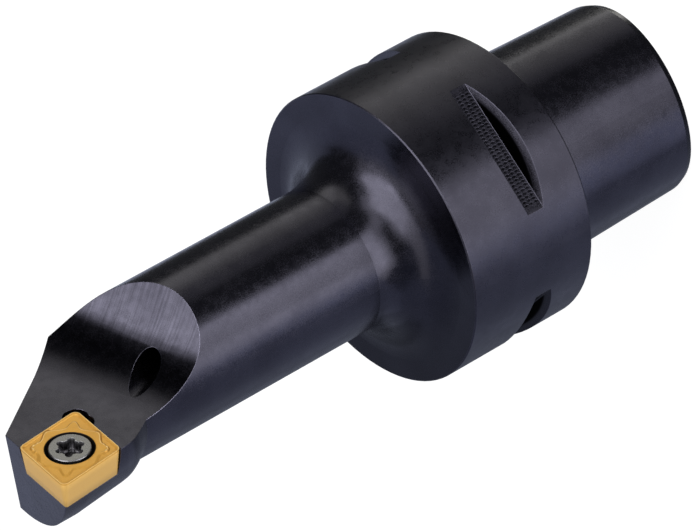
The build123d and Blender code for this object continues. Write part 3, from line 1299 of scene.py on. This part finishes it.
def fill_sheets() -> list[Sheet]:
    """The sheets beside, behind, over and under the bar.

    Returns:
        The sheets.
    """
    return [
        Sheet("left_side", -75, -60, -30, 20, 0.67),
        Sheet("low_left", -45, -15, -65, -30, 0.79),
        Sheet("low_side", -75, -45, -65, -30, 0.33, Gel.COOL),
        Sheet("low_front", -15, 75, -65, -30, 0.16, Gel.COOL),
        Sheet("back_left", -180, -145, -20, 20, 0.55, Gel.COOL),
        Sheet("back_left_in", -145, -110, -20, 20, 0.42, Gel.COOL),
        Sheet("back_left_low", -145, -75, -65, -20, 0.36, Gel.COOL),
        Sheet("side_left", -110, -75, -20, 10, 0.36, Gel.COOL),
        Sheet("side_right", 75, 95, -20, 0, 0.98, Gel.COOL),
        Sheet("low_back", -180, -145, -65, -20, 0.16, Gel.COOL),
        Sheet("low_right", 75, 150, -65, -20, 0.44, Gel.COOL),
        Sheet("low_right_back", 150, 180, -65, -20, 0.28, Gel.COOL),
        Sheet("back_right", 95, 180, -20, 0, 0.20, Gel.COOL),
        Sheet("back_right_up", 120, 180, 0, 20, 0.20, Gel.COOL),
        Sheet("back_top", 150, 180, 40, 65, 2.22, Gel.WARM),
        Sheet("top_left", -180, -90, 65, 90, 1.16, Gel.WARM),
        Sheet("top_mid", -90, 0, 65, 90, 0.70, Gel.WARM),
        Sheet("top_right", 90, 180, 65, 90, 0.67, Gel.WARM),
        Sheet("top_front", 0, 90, 65, 90, 0.32),
        Sheet("bottom", -180, 180, -90, -65, 0.32, Gel.COOL),
    ]


@dataclass
class Studio:
    """Camera, floor and a tent of bright and dim sheets."""

    camera_place: Direction = (0.457589, 0.364645, 0.378465)
    right: Direction = (0.65742, -0.09685, -0.74728)
    up: Direction = (-0.34981, 0.83914, -0.41650)
    back: Direction = (0.66741, 0.53522, 0.51779)
    lens: float = 279.3
    sensor: float = 36.0
    clip: tuple[float, float] = (0.01, 20.0)
    centre: Direction = (0.0, 0.0, 0.03)
    floor_level: float = -24.0 * MM
    floor_half: float = 1.5
    floor_colour: Colour = (0.2, 0.2, 0.2)
    floor_glow: float = 0.93
    tent_radius: float = 2.2
    tent_subdivisions: int = 4
    tent_colour: Colour = (0.9, 0.94, 1.0)
    tent_level: float = 0.08
    sheet_radius: float = 1.6
    cell_degrees: float = 8.0
    least_cells: int = 2
    seam: float = 1e-5
    world_level: Ramp = Ramp(0.0, 1.0, 0.5, 1.0)
    sheets: list[Sheet] = field(default_factory=lambda: softboxes() + fill_sheets())

    def aim(self, azimuth: float, elevation: float) -> Vector:
        """A direction seen from the object.

        Args:
            azimuth: degrees to the right of the camera.
            elevation: degrees above it.

        Returns:
            The unit direction in the part's frame.
        """
        turn, rise = math.radians(azimuth), math.radians(elevation)
        return (
            Vector(self.right) * math.sin(turn) * math.cos(rise)
            + Vector(self.up) * math.sin(rise)
            + Vector(self.back) * math.cos(turn) * math.cos(rise)
        )

    def camera(self) -> bpy.types.Object:
        """Makes the scene's camera.

        Returns:
            The camera.
        """
        data = bpy.data.cameras.new("camera")
        data.sensor_fit = "HORIZONTAL"
        data.sensor_width = self.sensor
        data.lens = self.lens
        data.clip_start, data.clip_end = self.clip
        camera = bpy.data.objects.new("camera", data)
        bpy.context.scene.collection.objects.link(camera)
        turn = Matrix((self.right, self.up, self.back)).transposed().to_4x4()
        camera.matrix_world = Matrix.Translation(self.camera_place) @ turn
        bpy.context.scene.camera = camera
        return camera

    def emission(self, name: str, colour: Colour, strength: float) -> bpy.types.Material:
        """A plain glowing cloth.

        Args:
            name: its name.
            colour: its colour.
            strength: its strength.

        Returns:
            The material.
        """
        material, bench = new_material(name)
        glow = bench.add("ShaderNodeEmission")
        glow.inputs["Color"].default_value = rgba(colour)
        glow.inputs["Strength"].default_value = strength
        output = bench.add("ShaderNodeOutputMaterial")
        bench.join(glow.outputs[0], output.inputs["Surface"])
        return material

    def hang(self, shape: bmesh.types.BMesh, name: str, cloth: bpy.types.Material) -> bpy.types.Object:
        """Puts a piece of the tent on the stage, unseen by the camera.

        Args:
            shape: its bmesh, which is freed.
            name: its name.
            cloth: its material.

        Returns:
            The piece.
        """
        mesh = bpy.data.meshes.new(name)
        shape.to_mesh(mesh)
        shape.free()
        mesh.materials.append(cloth)
        piece = bpy.data.objects.new(name, mesh)
        piece.visible_camera = False
        bpy.context.scene.collection.objects.link(piece)
        return piece

    def tent(self) -> bpy.types.Object:
        """Makes the dark shell behind the sheets.

        Returns:
            The shell.
        """
        shape = bmesh.new()
        bmesh.ops.create_icosphere(shape, subdivisions=self.tent_subdivisions, radius=self.tent_radius)
        bmesh.ops.reverse_faces(shape, faces=shape.faces)
        cloth = self.emission("tent_cloth", self.tent_colour, self.tent_level)
        return self.hang(shape, "tent", cloth)

    def sheet(self, item: Sheet) -> bpy.types.Object:
        """Makes one sheet, bent to the tent's round.

        Args:
            item: what it covers and how bright it is.

        Returns:
            The sheet.
        """
        shape = bmesh.new()
        across = max(self.least_cells, int((item.right - item.left) / self.cell_degrees))
        upward = max(self.least_cells, int((item.high - item.low) / self.cell_degrees))
        half = 0.5
        bmesh.ops.create_grid(shape, x_segments=across, y_segments=upward, size=half)
        for vert in shape.verts:
            azimuth = item.left + (vert.co.x + half) * (item.right - item.left)
            elevation = item.low + (vert.co.y + half) * (item.high - item.low)
            vert.co = Vector(self.centre) + self.aim(azimuth, elevation) * self.sheet_radius
        bmesh.ops.remove_doubles(shape, verts=shape.verts, dist=self.seam)
        cloth = self.emission(item.name + "_cloth", item.gel.value, item.level)
        return self.hang(shape, item.name, cloth)

    def floor(self) -> bpy.types.Object:
        """Makes the pale floor that the bar stands on.

        Returns:
            The floor.
        """
        shape = bmesh.new()
        bmesh.ops.create_grid(shape, x_segments=1, y_segments=1, size=self.floor_half)
        bmesh.ops.translate(shape, vec=(0.0, 0.0, self.floor_level), verts=shape.verts)
        mesh = bpy.data.meshes.new("floor")
        shape.to_mesh(mesh)
        shape.free()
        material, bench = new_material("pale_floor")
        faint = bench.add("ShaderNodeBsdfDiffuse")
        faint.inputs["Color"].default_value = rgba(self.floor_colour)
        glow = bench.add("ShaderNodeEmission")
        glow.inputs["Strength"].default_value = self.floor_glow
        white = bench.add("ShaderNodeAddShader")
        bench.join(faint.outputs[0], white.inputs[0])
        bench.join(glow.outputs[0], white.inputs[1])
        output = bench.add("ShaderNodeOutputMaterial")
        bench.join(white.outputs[0], output.inputs["Surface"])
        mesh.materials.append(material)
        floor = bpy.data.objects.new("floor", mesh)
        floor.visible_diffuse = False
        floor.visible_glossy = False
        floor.visible_shadow = False
        bpy.context.scene.collection.objects.link(floor)
        return floor

    def world(self) -> None:
        """Makes the world, brighter where it is seen or mirrored than where it lights."""
        world = bpy.data.worlds.new("studio_world")
        world.use_nodes = True
        bpy.context.scene.world = world
        bench = NodeBench(world.node_tree)
        path = bench.add("ShaderNodeLightPath")
        shown = bench.math("MAXIMUM", path.outputs["Is Camera Ray"], path.outputs["Is Glossy Ray"])
        shown = bench.math("MAXIMUM", shown, path.outputs["Is Transmission Ray"])
        level = bench.ramp(shown, self.world_level)
        background = bench.add("ShaderNodeBackground")
        bench.join(level, background.inputs["Strength"])
        output = bench.add("ShaderNodeOutputWorld")
        bench.join(background.outputs[0], output.inputs["Surface"])

    def build(self) -> None:
        """Makes the whole studio."""
        bpy.context.scene.view_settings.view_transform = "Standard"
        self.camera()
        self.world()
        self.floor()
        self.tent()
        for item in self.sheets:
            self.sheet(item)


def main() -> None:
    """Dresses the bar, builds the insert and sets up the studio."""
    logging.basicConfig(level=logging.INFO)
    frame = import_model()
    nodes = frame["nodes"]
    LOG.info("dressed %s", BarBody().dress(nodes).name)
    insert = RhombicInsert()
    middle = tuple(insert.centre * MM)
    LOG.info("dressed %s", InsertScrew(finish=ScrewSteel(centre=middle)).dress(nodes).name)
    coating = GoldCoating(centre=middle)
    LOG.info("built %s", insert.build(coating.build("gold_coating")).name)
    Studio().build()
    LOG.info("studio ready")


if __name__ == "__main__":
    main()
